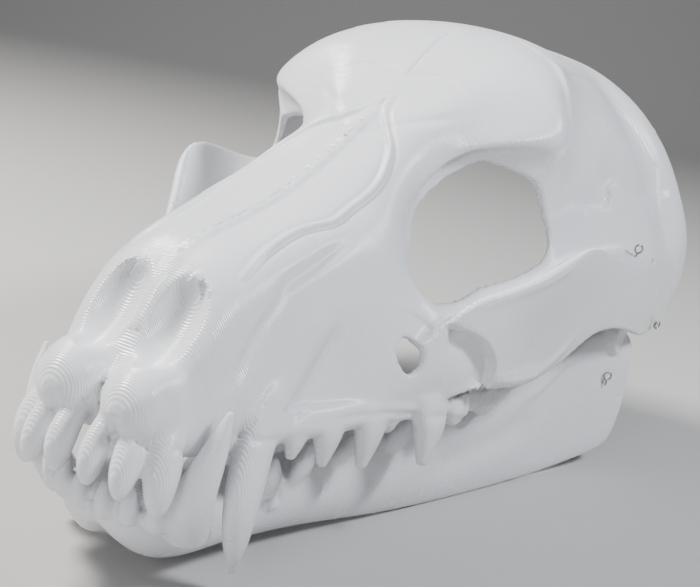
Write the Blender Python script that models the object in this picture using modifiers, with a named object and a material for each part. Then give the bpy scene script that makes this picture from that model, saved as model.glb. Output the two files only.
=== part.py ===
"""Wolf skull mask: a thin printed shell with open orbits, underside and back, and a hinged jaw.

Sizes are in millimetres and are turned into metres by place(). The nose points to -Y, +Z is up and
+X is the wearer's left. The origin lies under the middle of the mask, on the surface it stands on.
Only the +X half of each printed piece is modelled, and a Mirror modifier adds the other half.
"""
import math

import bpy
import bmesh
import numpy as np
from mathutils import Matrix, Vector

MM = 0.001
MID_Y = -17.9        # half way between the incisors and the rear rim
FLOOR_Z = 3.6        # underside of the jaw, on which the mask stands
WALL = 3.4           # thickness of the printed shell
GAP = 0.3            # clearance between touching pieces
SHELL_SHARE = 0.38   # share of the smooth forms' triangles that is kept before anything is cut or joined
JAW_SHARE = 0.42

# The hinge: a stub on each inner lug of the skull turns in a socket of the jaw.
HINGE_Y = 92.0
HINGE_Z = 68.0
STUB_RADIUS = 3.0
CONDYLE_RADIUS = 8.5
LUG_X = 73.5          # inner face of the lug
LUG_THICK = 4.0

# Wire loops on the outside: centres as (x, y, z).
WIRE_RADIUS = 0.5
LOOP_RADIUS = 1.9
UPPER_LOOP = (93.5, 67.5, 113.2)
REAR_LOOP = (100.1, 104, 75)
JAW_LOOP = (89.4, 86, 50)

# Rails run along the skull from nose to rear rim. Each is a row of (y, x, z).
CROWN = ((-166, 0, 66), (-157, 0, 77), (-148, 0, 90), (-137, 0, 106), (-127, 0, 112.5),
         (-110, 0, 116.5), (-87, 0, 121.5), (-61, 0, 131), (-32, 0, 145), (-5, 0, 160),
         (20, 0, 178), (41, 0, 187.5), (62, 0, 192), (97, 0, 187.5), (140, 0, 184))
NASAL = ((-166, 6, 66), (-157, 8, 77), (-148, 10, 90), (-137, 12, 105.5), (-127, 12, 112),
         (-110, 12, 116.5), (-61, 13, 131), (-32, 14, 145), (-5, 16, 160), (20, 17, 177),
         (41, 17, 186.5), (62, 17, 191), (97, 17, 186.5), (140, 17, 183))
SUTURE = ((-166, 12, 65), (-157, 15, 76), (-148, 18.5, 89.5), (-137, 21, 101.5), (-125, 22, 108.5),
          (-110, 22, 114), (-87, 23, 120), (-61, 24, 127.5), (-38, 23, 138.5), (-20, 23, 147),
          (-5, 27, 158), (15, 33, 174), (41, 34, 184), (65, 32, 187), (97, 33, 183), (140, 33, 180))
UPPER_SIDE = ((-166, 17, 63), (-157, 20.5, 73), (-148, 24.5, 84.5), (-137, 27, 95), (-116, 29.5, 105.5),
              (-99, 31.5, 110), (-80, 33, 116), (-60, 33, 122), (-42, 30, 130), (-20, 28.5, 140),
              (-5, 34, 151), (6, 44, 160), (18, 52, 169), (41, 49, 178.5), (65, 44, 182),
              (97, 47, 177), (120, 47, 171.5), (130, 47, 174), (140, 47, 174.5))
BROW = ((-166, 20, 61), (-157, 23, 69), (-148, 27, 78), (-137, 30, 87), (-116, 33, 96),
        (-99, 36, 101), (-80, 39, 107), (-60, 40, 113), (-42, 34, 121), (-20, 30, 130),
        (-5, 38, 145), (5, 58, 151), (14, 68.5, 152), (26, 65, 160), (41, 58, 168), (58, 54, 172),
        (97, 60, 168.5), (120, 58.5, 161.5), (130, 61.5, 165), (140, 62, 165.5))
WALL_MID = ((-166, 22, 59), (-157, 25, 65), (-148, 29, 72), (-137, 32, 80), (-116, 35, 87),
            (-99, 39, 92), (-80, 44, 96), (-60, 44, 107), (-42, 38, 112), (-20, 29, 122),
            (-5, 31, 138), (5, 45, 142), (14, 57, 139), (24, 66, 137), (41, 63, 149), (60, 66, 158),
            (97, 74, 153), (120, 72, 147.5), (130, 76, 151), (140, 76.5, 151.5))
LOWER_RIM = ((-166, 23, 57), (-157, 26, 61), (-148, 31, 67), (-137, 34, 73), (-116, 37, 78),
             (-99, 41, 81), (-80, 47, 86), (-60, 51, 94), (-42, 56, 94), (-20, 62, 98),
             (0, 68, 101.5), (15, 71, 107), (26, 71, 116), (41, 71, 125), (58, 75, 135),
             (97, 84, 135.5), (120, 83, 132), (130, 86.5, 135.5), (140, 87, 136))
VALLEY = ((-137, 35, 67), (-116, 38.5, 70), (-99, 43, 72), (-80, 49, 76), (-60, 56, 85),
          (-44, 62, 93), (-20, 70, 99), (0, 77, 103), (15, 80, 106), (36, 80, 107),
          (58, 83, 112), (80, 90, 115), (97, 93, 116), (120, 92.5, 113.5), (130, 96, 116.5), (140, 96.5, 117))
ARCH_RIDGE = ((-137, 36, 63), (-116, 40, 64), (-99, 44.5, 65), (-80, 51, 68), (-62, 58, 82),
              (-44, 68, 99), (-29, 79, 105.5), (-18, 86.5, 112), (-6, 92, 121), (6, 93, 121.5),
              (24, 92.5, 117.5), (45, 92.5, 112.5), (69, 95, 109), (92, 98, 105), (112, 97.5, 101),
              (125, 99, 102.5), (140, 99.5, 103))
ARCH_SIDE = ((-137, 36.5, 60), (-116, 40.5, 60), (-99, 45, 60.5), (-80, 51.5, 62), (-62, 60, 69),
             (-44, 69, 81), (-20, 80, 86), (0, 87, 92), (18, 90, 94), (45, 93, 96),
             (69, 96, 96), (90, 99, 94), (112, 99, 87), (140, 100, 92))
LOWER_EDGE = ((-137, 36, 55), (-116, 40, 55.5), (-99, 44.5, 56), (-80, 50, 56), (-62, 57, 56),
              (-46, 66, 62), (-30, 75, 65.5), (-8, 81.5, 64), (15, 86.5, 69), (37, 90.5, 78.5),
              (60, 94, 79), (78, 97, 75), (90, 98, 70), (104, 99, 70.5), (120, 99, 72),
              (131, 99, 77), (140, 99.5, 89))
RAILS = (CROWN, NASAL, SUTURE, UPPER_SIDE, BROW, WALL_MID, LOWER_RIM, VALLEY, ARCH_RIDGE,
         ARCH_SIDE, LOWER_EDGE)

SHELL_STATIONS = (-134, -127, -118, -110, -99, -87, -75, -63, -53, -44, -34, -24, -14, -5, 6, 17, 28,
                  41, 56, 74, 92, 106, 118, 125, 132, 140)
SNOUT_STATIONS = (-160, -156, -150, -143, -137, -130, -120, -110)

# Rim of the orbit as (x, y, z), and the point inside the mask towards which the cut narrows.
ORBIT = ((42, -51, 108), (38, -43, 110.5), (33, -33, 114.5), (28.5, -22, 122), (28, -13, 128.5),
         (29, -5, 135.5), (32.5, 0, 140), (38, 3, 142.3), (45, 6, 142), (51, 12, 139.5), (57, 17, 136),
         (64, 21, 129), (68, 23, 122), (70, 24, 116), (71, 20, 109), (70, 11, 105), (67, -3, 101),
         (63.5, -19, 98.3), (58.5, -30, 95.3), (55, -44, 94), (48, -50, 99.5))
ORBIT_CENTRE = (-30, 10, 95)

# The bar along the upper cheek teeth, as (x, y, z), from the canine to behind the molar.
TOOTH_BAR = ((36, -130, 62), (41, -113, 61), (45, -98, 60.5), (50, -76, 60), (58, -48, 59),
             (62, -22, 56), (63.5, 0, 52), (64, 16, 52))

# Teeth: a path of (x, y, z) from root to tip, then half-widths across and along the row at each point.
UPPER_TEETH = {
    "incisor_1": (((6.3, -166, 66), (6.6, -170, 58), (6.3, -172, 51), (6, -170.8, 45)),
                  (5.2, 5.0, 4.0, 1.4), (4.5, 4.5, 3.2, 1.2)),
    "incisor_2": (((16, -163, 66), (16.5, -167, 58), (17.2, -170, 50), (17.3, -169.4, 43.5)),
                  (5.4, 5.2, 4.2, 1.4), (5, 4.8, 3.6, 1.2)),
    "incisor_3": (((24.5, -157, 66), (25.2, -160.5, 57), (26, -163, 47), (26, -162, 37.5)),
                  (5.6, 5.4, 4.4, 1.5), (6.5, 6.2, 4.6, 1.4)),
    "canine": (((36, -127, 66), (37.5, -131.5, 52), (38.5, -134.5, 38), (38, -133.5, 24),
                (36.7, -130, 11.5)),
               (5.5, 6.0, 5.6, 4.2, 1.2), (8.0, 7.6, 6.8, 4.8, 1.3)),
    "premolar_1": (((41.5, -112, 62), (42, -113, 56), (42, -114, 51)),
                   (3, 2.6, 1.0), (4.5, 3.6, 1.2)),
    "premolar_2": (((45.5, -97, 62), (46, -98, 54), (46.2, -98.5, 43.5)),
                   (4, 3.4, 1.0), (7.5, 6.4, 1.2)),
    "premolar_3": (((50, -75, 62), (50.8, -76, 52), (50.8, -76.4, 37.3)),
                   (4.6, 4.0, 1.1), (9, 8.0, 1.3)),
    "premolar_3_heel": (((52, -67, 60), (52.5, -67, 53), (52.8, -66.5, 47)),
                        (3.6, 3, 1), (5, 4, 1.2)),
    "carnassial": (((59, -48, 62), (61.5, -48.5, 50), (62.6, -50, 35.3)),
                   (5.6, 4.8, 1.3), (12, 9.5, 1.6)),
    "carnassial_rear": (((62, -30, 60), (63.5, -29, 51), (64, -27, 42)),
                        (5, 4.2, 1.3), (10, 7.5, 2)),
    "molar": (((63, -4, 58), (64.5, -3, 47), (64.5, -4, 40)),
              (5.5, 4.8, 2), (9, 7.5, 3)),
}
LOWER_TEETH = {
    "incisor_1": (((4.6, -158, 30), (4.8, -160, 36), (4.8, -160, 42)), (3.8, 3.4, 1.6), (4, 3, 1.2)),
    "incisor_2": (((12.5, -156, 30), (13, -158, 36), (13, -158, 42)), (3.8, 3.4, 1.6), (4, 3, 1.2)),
    "incisor_3": (((20, -152, 29), (21, -154, 36), (21.2, -154, 43)), (4.2, 3.8, 1.6), (4.4, 3.4, 1.2)),
    "canine": (((25, -143, 26), (29, -149, 38), (33.2, -150.5, 50), (35.6, -148.5, 62), (36.6, -146, 71.8)),
               (6.5, 6.3, 4.6, 3.0, 1.0), (8.5, 7.6, 5.6, 3.6, 1.1)),
    "premolar_1": (((31.5, -106, 26), (33.5, -108, 36), (34, -109, 45)), (4, 3.4, 1.1), (5.5, 4.6, 1.2)),
    "premolar_2": (((34, -88, 25), (36, -89, 34), (36.5, -90, 44)), (4.2, 3.6, 1.1), (7, 6, 1.2)),
    "premolar_3": (((39, -66, 24), (41, -66, 32), (41.5, -67, 41)), (4.4, 3.8, 1.1), (7.5, 6.4, 1.2)),
    "molar": (((47, -38, 22), (49, -38, 30), (49.5, -37, 38)), (5, 4.2, 1.3), (11, 9, 2)),
}

# Jaw sections: (y, inner x, outer x, bottom x, top z, bottom z), from the chin to the hinge.
JAW_SECTIONS = (
    (-160, -8, 12, 6, 37, 27), (-153, -8, 18, 9, 37, 18), (-144, -8, 22, 12, 36, 11.5),
    (-133, -8, 25.5, 14, 34.5, 8.5), (-121, -8, 27.5, 16, 32, 8.5), (-112, 4, 29.5, 19, 31, 9),
    (-100, 12, 32, 22.5, 30, 8.5), (-82, 19.5, 36.5, 28, 28.5, 8), (-60, 28, 43, 35.5, 27.5, 6),
    (-30, 38, 52, 45, 28, 3), (0, 49, 61, 55, 32, 2.6), (28, 58, 69, 64, 43, 2.6),
    (50, 66, 75, 71, 55, 3), (66, 72, 80, 77, 65, 4.5), (80, 78, 86.5, 83, 70, 7),
    (95, 82, 91.5, 89, 71, 9.5), (109, 87, 97, 94, 66, 14))


def place(x, y, z):
    """Millimetres on the skull to metres in the part's frame."""
    return Vector((x * MM, (y - MID_Y) * MM, (z - FLOOR_Z) * MM))


def along(rail, y):
    """The (x, z) of a rail at y, by a smooth cubic through the rail's points."""
    knots = np.array(rail, dtype=float)
    ys = knots[:, 0]
    y = min(max(y, ys[0]), ys[-1])
    slopes = np.gradient(knots[:, 1:], ys, axis=0)
    i = min(max(int(np.searchsorted(ys, y)) - 1, 0), len(ys) - 2)
    h = ys[i + 1] - ys[i]
    t = (y - ys[i]) / h
    a = (1 + 2 * t) * (1 - t) ** 2
    b = t * (1 - t) ** 2
    c = t * t * (3 - 2 * t)
    d = t * t * (t - 1)
    return a * knots[i, 1:] + b * h * slopes[i] + c * knots[i + 1, 1:] + d * h * slopes[i + 1]


def on_surface(outline):
    """Cage points that bring a subdivided section close to the given points."""
    points = np.array(outline, dtype=float)
    cage = points.copy()
    cage[1:-1] += 0.5 * (points[1:-1] - 0.5 * (points[:-2] + points[2:]))
    return cage


def make_object(name, mesh_builder, collection):
    mesh = bpy.data.meshes.new(name)
    bm = bmesh.new()
    mesh_builder(bm)
    if all(edge.is_manifold for edge in bm.edges):
        bmesh.ops.recalc_face_normals(bm, faces=bm.faces)
    bm.to_mesh(mesh)
    bm.free()
    obj = bpy.data.objects.new(name, mesh)
    collection.objects.link(obj)
    return obj


def helper(name, mesh_builder):
    """A piece that only joins or cuts another one."""
    obj = make_object(name, mesh_builder, cutters)
    obj.hide_render = True
    obj.display_type = "WIRE"
    return obj


def subdivide(obj, levels):
    mod = obj.modifiers.new("Smooth form", "SUBSURF")
    mod.levels = levels
    mod.render_levels = levels


def combine(obj, tool, operation, solver="MANIFOLD"):
    """Join or cut. The exact solver loses the thin shell here, so the manifold one is used."""
    mod = obj.modifiers.new(tool.name, "BOOLEAN")
    mod.operation = operation
    mod.solver = solver
    mod.object = tool


def grid_faces(bm, rows, closed):
    """Faces between neighbouring rows of vertices; closed rows join their last point to their first."""
    for row, following in zip(rows, rows[1:]):
        count = len(row)
        for i in range(count if closed else count - 1):
            j = (i + 1) % count
            bm.faces.new((row[i], row[j], following[j], following[i]))


def tube(bm, centres, across, along_row, sides):
    """A tapered closed body round a path; its sections stay square to the path."""
    points = [place(*c) for c in centres]
    rows = []
    for i, point in enumerate(points):
        before = points[max(i - 1, 0)]
        after = points[min(i + 1, len(points) - 1)]
        direction = (after - before).normalized()
        flat = Vector((centres[0][0], centres[0][1] + 100.0, 0.0))
        side = Vector((1.0, 0.0, 0.0)) if abs(centres[0][0]) > 30 else flat.normalized()
        wide = side - direction * side.dot(direction)
        wide.normalize()
        deep = direction.cross(wide)
        row = []
        for k in range(sides):
            angle = 2 * math.pi * k / sides
            offset = wide * (across[i] * MM * math.cos(angle)) + deep * (along_row[i] * MM * math.sin(angle))
            row.append(bm.verts.new(point + offset))
        rows.append(row)
    grid_faces(bm, rows, True)
    bm.faces.new(rows[0])
    bm.faces.new(rows[-1])


def ellipsoid(bm, centre, radii, tilt_x=0.0, segments=12, rings=8):
    made = bmesh.ops.create_uvsphere(bm, u_segments=segments, v_segments=rings, radius=1.0)
    turn = Matrix.Rotation(tilt_x, 4, "X")
    scale = Matrix.Diagonal((radii[0] * MM, radii[1] * MM, radii[2] * MM, 1.0))
    bmesh.ops.transform(bm, matrix=Matrix.Translation(place(*centre)) @ turn @ scale, verts=made["verts"])


def cylinder_x(bm, y, z, radius, x_from, x_to, segments=20):
    made = bmesh.ops.create_cone(bm, cap_ends=True, segments=segments, radius1=radius * MM,
                                 radius2=radius * MM, depth=(x_to - x_from) * MM)
    turn = Matrix.Rotation(math.pi / 2, 4, "Y")
    bmesh.ops.transform(bm, matrix=Matrix.Translation(place((x_from + x_to) / 2, y, z)) @ turn,
                        verts=made["verts"])


def box(bm, low, high):
    made = bmesh.ops.create_cube(bm, size=1.0)
    centre = place(*[(a + b) / 2 for a, b in zip(low, high)])
    scale = Matrix.Diagonal([(b - a) * MM for a, b in zip(low, high)] + [1.0])
    bmesh.ops.transform(bm, matrix=Matrix.Translation(centre) @ scale, verts=made["verts"])


# Pieces of the skull and the shapes that cut it.

def build_shell(bm):
    """The shell as an open sheet, a little past the mid-plane so that it can be mirrored there."""
    rows = []
    for y in SHELL_STATIONS:
        outline = [(-along(rail, y)[0], along(rail, y)[1]) for rail in (SUTURE, NASAL)]
        outline += [tuple(along(rail, y)) for rail in RAILS]
        rows.append([bm.verts.new(place(x, y, z)) for x, z in on_surface(outline)])
    grid_faces(bm, rows, False)
    bm.normal_update()
    crown_face = max(bm.faces, key=lambda face: face.calc_center_median().z)
    if crown_face.normal.z < 0:
        bmesh.ops.reverse_faces(bm, faces=bm.faces)


def build_snout(bm):
    """The solid front of the snout, from behind the incisors to inside the shell."""
    rows = []
    for y in SNOUT_STATIONS:
        shrink = 0.93 if y > -131 else 1.0
        row = []
        outline = []
        for rail in (SUTURE, NASAL):
            x, z = along(rail, y)
            outline.append((-x, z))
        for rail in RAILS[:7]:
            x, z = along(rail, y)
            outline.append((x, z))
        edge_x = along(LOWER_RIM, y)[0] - 1.5
        outline += [(edge_x, 57.0), (edge_x - 5, 54.5), (0.0, 55.5), (-12.0, 55.0)]
        for x, z in on_surface(outline):
            row.append(bm.verts.new(place(x * shrink, y, 60 + (z - 60) * shrink)))
        rows.append(row)
    grid_faces(bm, rows, True)
    bm.faces.new(rows[0])
    bm.faces.new(rows[-1])


def build_premaxilla(bm):
    ellipsoid(bm, (11.5, -157.5, 68), (13, 13.5, 13.5), 0.2)


def build_orbit_cut(bm):
    """A funnel through the wall: towards the middle on the inside, straight out above the cheek arch."""
    inner = []
    outer = []
    for x, y, z in ORBIT:
        inner.append(bm.verts.new(place(*[a + 0.35 * (b - a) for a, b in zip((x, y, z), ORBIT_CENTRE)])))
        if z > 120:
            out, rise = 15.0, 0.0
        elif z > 106:
            out, rise = 8.0, 1.0
        else:
            out, rise = 6.0, 3.0
        outer.append(bm.verts.new(place(x + out, y, z + rise)))
    rim = [bm.verts.new(place(*point)) for point in ORBIT]
    grid_faces(bm, [inner, rim, outer], True)
    bm.faces.new(inner)
    bm.faces.new(outer)


def build_nostril(bm):
    ellipsoid(bm, (11.5, -147, 93), (8.6, 11, 17), 0.68)


def build_foramen(bm):
    ellipsoid(bm, (50, -56, 76.5), (9, 5.2, 6.2))


def build_bar(bm):
    """The bar that carries the upper cheek teeth."""
    widths = [5.0] * len(TOOTH_BAR)
    tube(bm, TOOTH_BAR, widths, [6.0] * len(TOOTH_BAR), 10)


def build_lug_eye(bm):
    cylinder_x(bm, HINGE_Y, HINGE_Z, 6.5, LUG_X, LUG_X + LUG_THICK)


def build_lug_plate(bm):
    box(bm, (LUG_X + 0.2, HINGE_Y - 6.2, HINGE_Z), (LUG_X + LUG_THICK - 0.2, HINGE_Y + 6.2, 89.5))


def build_lug_web(bm):
    """The web that carries the lug, from the plate out to the shell's wall."""
    box(bm, (LUG_X + 0.5, HINGE_Y - 6, 82), (97, HINGE_Y + 6, 89))


def build_stub(bm):
    cylinder_x(bm, HINGE_Y, HINGE_Z, STUB_RADIUS, LUG_X + 2, 85)


# Pieces of the jaw and the shapes that cut it.

def build_jaw_half(bm):
    rows = []
    for y, inner, outer, bottom, top, low in JAW_SECTIONS:
        height = top - low
        mid = (inner + outer) / 2 if inner > -8 else 8.0
        outline = ((mid, top), (outer - 1.5, top - 0.5), (outer, top - 0.35 * height),
                   (outer - 0.5, low + 0.3 * height), (bottom + 2, low), (bottom - 3, low),
                   (inner + 0.3 * (bottom - inner), low + 0.3 * height), (inner, top - 0.3 * height),
                   (inner + 1.5, top))
        rows.append([bm.verts.new(place(x, y, z)) for x, z in outline])
    grid_faces(bm, rows, True)
    bm.faces.new(rows[0])
    bm.faces.new(rows[-1])


def build_condyle(bm):
    cylinder_x(bm, HINGE_Y, HINGE_Z, CONDYLE_RADIUS, LUG_X + LUG_THICK + GAP, 90.5, 24)


def build_socket(bm):
    cylinder_x(bm, HINGE_Y, HINGE_Z, STUB_RADIUS + GAP, 70, 85 + GAP)


def build_stand(bm):
    """Everything below the surface that the mask stands on, cut off the jaw to leave flat feet."""
    box(bm, (-10, -200, -20), (120, 160, FLOOR_Z))


def thin_out(obj, share):
    thin = obj.modifiers.new("Fewer facets", "DECIMATE")
    thin.ratio = share


def add_other_half(obj):
    both = obj.modifiers.new("Other half", "MIRROR")
    both.use_axis = (True, False, False)
    both.use_bisect_axis = (True, False, False)
    both.use_bisect_flip_axis = (False, False, False)
    both.merge_threshold = 0.00002
    obj.data.shade_smooth()


def plastic(name, colour, roughness):
    material = bpy.data.materials.new(name)
    material.use_nodes = True
    shader = material.node_tree.nodes["Principled BSDF"]
    shader.inputs["Base Color"].default_value = (*colour, 1.0)
    shader.inputs["Roughness"].default_value = roughness
    return material


def steel(name):
    material = plastic(name, (0.45, 0.44, 0.42), 0.3)
    material.node_tree.nodes["Principled BSDF"].inputs["Metallic"].default_value = 1.0
    return material


for old in list(bpy.data.objects):
    bpy.data.objects.remove(old, do_unlink=True)

part = bpy.data.collections.new("wolf_skull_mask")
cutters = bpy.data.collections.new("cutters")
bpy.context.scene.collection.children.link(part)
bpy.context.scene.collection.children.link(cutters)

white_plastic = plastic("white printed plastic", (0.86, 0.86, 0.87), 0.32)

skull = make_object("skull", build_shell, part)
subdivide(skull, 1)
thickness = skull.modifiers.new("Wall", "SOLIDIFY")
thickness.thickness = WALL * MM
thickness.offset = -1.0
thin_out(skull, SHELL_SHARE)

snout = helper("snout", build_snout)
subdivide(snout, 1)
thin_out(snout, SHELL_SHARE)
combine(skull, snout, "UNION")
combine(skull, helper("orbit", build_orbit_cut), "DIFFERENCE")
combine(skull, helper("premaxilla", build_premaxilla), "UNION")
combine(skull, helper("nostril", build_nostril), "DIFFERENCE")
combine(skull, helper("foramen", build_foramen), "DIFFERENCE")
combine(skull, helper("tooth bar", build_bar), "UNION")
for tooth, (path, across, lengthways) in UPPER_TEETH.items():
    shape = helper("upper " + tooth, lambda bm: tube(bm, path, across, lengthways, 8))
    combine(skull, shape, "UNION")
combine(skull, helper("lug web", build_lug_web), "UNION")
combine(skull, helper("lug plate", build_lug_plate), "UNION")
combine(skull, helper("lug eye", build_lug_eye), "UNION")
combine(skull, helper("stub", build_stub), "UNION")
add_other_half(skull)
skull.data.materials.append(white_plastic)

jaw = make_object("jaw", build_jaw_half, part)
subdivide(jaw, 1)
thin_out(jaw, JAW_SHARE)
combine(jaw, helper("condyle", build_condyle), "UNION")
for tooth, (path, across, lengthways) in LOWER_TEETH.items():
    shape = helper("lower " + tooth, lambda bm: tube(bm, path, across, lengthways, 8))
    combine(jaw, shape, "UNION")
combine(jaw, helper("socket", build_socket), "DIFFERENCE")
combine(jaw, helper("stand", build_stand), "DIFFERENCE")
add_other_half(jaw)
jaw.data.materials.append(white_plastic)


# Steel wire loops, bent through small holes in the plastic.

def wire(name, points, side):
    """A bent wire through points given for the +X side; side is 1 or -1."""
    curve = bpy.data.curves.new(name, "CURVE")
    curve.dimensions = "3D"
    curve.bevel_depth = WIRE_RADIUS * MM
    curve.bevel_resolution = 1
    curve.use_fill_caps = True
    spline = curve.splines.new("POLY")
    spline.points.add(len(points) - 1)
    centre = place(*points[0])
    centre.x *= side
    for point, (x, y, z) in zip(spline.points, points):
        target = place(x, y, z)
        target.x *= side
        point.co = (*(target - centre), 1.0)
    obj = bpy.data.objects.new(name, curve)
    obj.location = centre
    part.objects.link(obj)
    curve.materials.append(wire_steel)
    return obj


def ring(centre, radius, start, turn, steps, tilt=0.0):
    """Points of a loop round a centre, in a plane square to X; angles in degrees from +Y towards +Z."""
    x, y, z = centre
    points = []
    for k in range(steps + 1):
        angle = math.radians(start + turn * k / steps)
        points.append((x + tilt * k / steps, y + radius * math.cos(angle), z + radius * math.sin(angle)))
    return points


wire_steel = steel("bright steel wire")
for side, label in ((1, "left"), (-1, "right")):
    upper = ring(UPPER_LOOP, LOOP_RADIUS, -90, 310, 10, 1.2)
    stem = [(UPPER_LOOP[0], UPPER_LOOP[1] - 0.4, UPPER_LOOP[2] - LOOP_RADIUS - 1.4)]
    wire("skull_upper_loop_" + label, stem + upper, side)
    rear = ring(REAR_LOOP, LOOP_RADIUS * 0.8, -60, 560, 17, 3.4)
    wire("skull_rear_loop_" + label, rear, side)
    hook = ring(JAW_LOOP, LOOP_RADIUS, 0, 330, 10, 1.2)
    tail = [(JAW_LOOP[0] - 0.1, JAW_LOOP[1] + 0.6, JAW_LOOP[2] - 4.6)]
    wire("jaw_loop_" + label, tail + hook[::-1], side)
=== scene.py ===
import math

import bmesh
import bpy
import numpy as np
from mathutils import Matrix, Vector, noise


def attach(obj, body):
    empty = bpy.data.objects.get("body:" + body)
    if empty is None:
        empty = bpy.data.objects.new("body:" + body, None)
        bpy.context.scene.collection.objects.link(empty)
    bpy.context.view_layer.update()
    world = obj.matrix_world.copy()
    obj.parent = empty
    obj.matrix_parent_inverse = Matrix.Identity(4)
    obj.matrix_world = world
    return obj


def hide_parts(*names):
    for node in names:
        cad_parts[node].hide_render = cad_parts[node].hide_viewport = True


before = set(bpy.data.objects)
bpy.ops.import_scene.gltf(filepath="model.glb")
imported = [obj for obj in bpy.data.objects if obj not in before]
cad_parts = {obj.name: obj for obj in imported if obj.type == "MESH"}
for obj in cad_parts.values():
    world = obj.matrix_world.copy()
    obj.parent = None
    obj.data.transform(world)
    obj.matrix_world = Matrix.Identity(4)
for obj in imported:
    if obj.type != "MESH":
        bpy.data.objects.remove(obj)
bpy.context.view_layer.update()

# Shell of the skull: one sheet of white printed plastic, open below and behind. The nose points to -Y
# and +X is the wearer's left. The +X half is shaped here and a mirror adds the other half. Places are
# millimetres on the skull, and each rail along it is a row of (y, x, z).
MM = 0.001
MID_Y = -17.9
FLOOR_Z = 3.6
WALL = 2.9
CROWN = ((-166, 0, 66), (-157, 0, 77), (-148, 0, 90), (-137, 0, 106), (-127, 0, 112.5),
         (-110, 0, 116.5), (-87, 0, 121.5), (-61, 0, 131), (-32, 0, 145), (-5, 0, 160),
         (20, 0, 178), (41, 0, 187.5), (62, 0, 191), (97, 0, 187.5), (140, 0, 184))
NASAL = ((-166, 6, 66), (-157, 8, 77), (-148, 10, 90), (-137, 12, 105.5), (-127, 12, 112),
         (-110, 12, 116.5), (-61, 13, 131), (-32, 14, 145), (-5, 16, 160), (20, 17, 177),
         (41, 17, 186.5), (62, 17, 190), (97, 17, 186.5), (140, 17, 183))
SUTURE = ((-166, 12, 65), (-157, 15, 76), (-148, 18.5, 89.5), (-137, 21, 101.5), (-125, 22, 108.5),
          (-110, 22, 114), (-87, 23, 120), (-61, 24, 127.5), (-38, 23, 138.5), (-20, 23, 147),
          (-5, 27, 158), (15, 33, 174), (41, 34, 184), (65, 32, 187), (97, 33, 183), (140, 33, 180))
UPPER_SIDE = ((-166, 17, 63), (-157, 20.5, 73), (-148, 24.5, 84.5), (-137, 27, 95), (-116, 29.5, 105.5),
              (-99, 31.5, 110), (-80, 33, 116), (-60, 33, 122), (-42, 30, 130), (-20, 28.5, 140),
              (-5, 34, 151), (6, 44, 160), (18, 52, 169), (41, 49, 178.5), (65, 44, 182),
              (97, 47, 177), (120, 47, 171.5), (130, 47, 174), (140, 47, 174.5))
BROW = ((-166, 20, 61), (-157, 23, 69), (-148, 27, 78), (-137, 30, 87), (-116, 33, 96),
        (-99, 36, 101), (-80, 39, 107), (-60, 40, 113), (-42, 34, 121), (-20, 30, 130),
        (-5, 38, 145), (5, 58, 151), (14, 68.5, 152), (26, 65, 160), (41, 58, 168), (58, 54, 172),
        (97, 60, 168.5), (120, 58.5, 161.5), (130, 61.5, 165), (140, 62, 165.5))
WALL_MID = ((-166, 22, 59), (-157, 25, 65), (-148, 29, 72), (-137, 32, 80), (-116, 35, 87),
            (-99, 39, 92), (-80, 44, 96), (-60, 44, 107), (-42, 38, 112), (-20, 29, 122),
            (-5, 31, 138), (5, 45, 142), (14, 57, 139), (24, 66, 137), (41, 63, 149), (60, 66, 158),
            (97, 74, 153), (120, 72, 147.5), (130, 76, 151), (140, 76.5, 151.5))
LOWER_RIM = ((-166, 23, 57), (-157, 26, 61), (-148, 31, 67), (-137, 34, 73), (-116, 37, 78),
             (-99, 41, 81), (-80, 47, 86), (-60, 51, 94), (-42, 56, 94), (-20, 62, 98),
             (0, 68, 101.5), (15, 71, 107), (26, 71, 116), (41, 71, 125), (58, 75, 135),
             (97, 84, 135.5), (120, 83, 132), (130, 86.5, 135.5), (140, 87, 136))
VALLEY = ((-137, 35, 67), (-116, 38.5, 70), (-99, 43, 72), (-80, 49, 76), (-60, 56, 85),
          (-44, 62, 93), (-20, 70, 99), (0, 77, 103), (15, 80, 106), (36, 80, 107),
          (58, 83, 112), (80, 90, 115), (97, 93, 116), (120, 92.5, 113.5), (130, 96, 116.5),
          (140, 96.5, 117))
ARCH_RIDGE = ((-137, 36, 63), (-116, 40, 64), (-99, 44.5, 65), (-80, 51, 68), (-62, 58, 82),
              (-44, 68, 99), (-29, 79, 105.5), (-18, 86.5, 112), (-6, 92, 121), (6, 93, 121.5),
              (24, 92.5, 117.5), (45, 92.5, 112.5), (69, 95, 109), (92, 98, 105), (112, 97.5, 101),
              (125, 99, 102.5), (140, 99.5, 103))
ARCH_SIDE = ((-137, 36.5, 60), (-116, 40.5, 60), (-99, 45, 60.5), (-80, 51.5, 62), (-62, 60, 69),
             (-44, 69, 81), (-20, 80, 86), (0, 87, 92), (18, 90, 94), (45, 93, 96),
             (69, 96, 96), (90, 99, 94), (112, 99, 87), (140, 100, 92))
LOWER_EDGE = ((-137, 36, 55), (-116, 40, 55.5), (-99, 44.5, 56), (-80, 50, 56), (-62, 57, 56),
              (-46, 66, 62), (-30, 75, 65.5), (-8, 81.5, 64), (15, 86.5, 69), (37, 90.5, 78.5),
              (60, 94, 79), (78, 97, 75), (90, 98, 70), (104, 99, 70.5), (120, 99, 72),
              (131, 99, 77), (140, 99.5, 89))
RAILS = (CROWN, NASAL, SUTURE, UPPER_SIDE, BROW, WALL_MID, LOWER_RIM, VALLEY, ARCH_RIDGE,
         ARCH_SIDE, LOWER_EDGE)
SHELL_STATIONS = (-134, -127, -118, -110, -99, -87, -75, -63, -53, -44, -34, -24, -14, -5, 6, 17, 28,
                  41, 56, 74, 92, 106, 118, 125, 132, 140)


def place(x, y, z):
    """Millimetres on the skull to metres in the frame."""
    return Vector((x * MM, (y - MID_Y) * MM, (z - FLOOR_Z) * MM))


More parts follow.
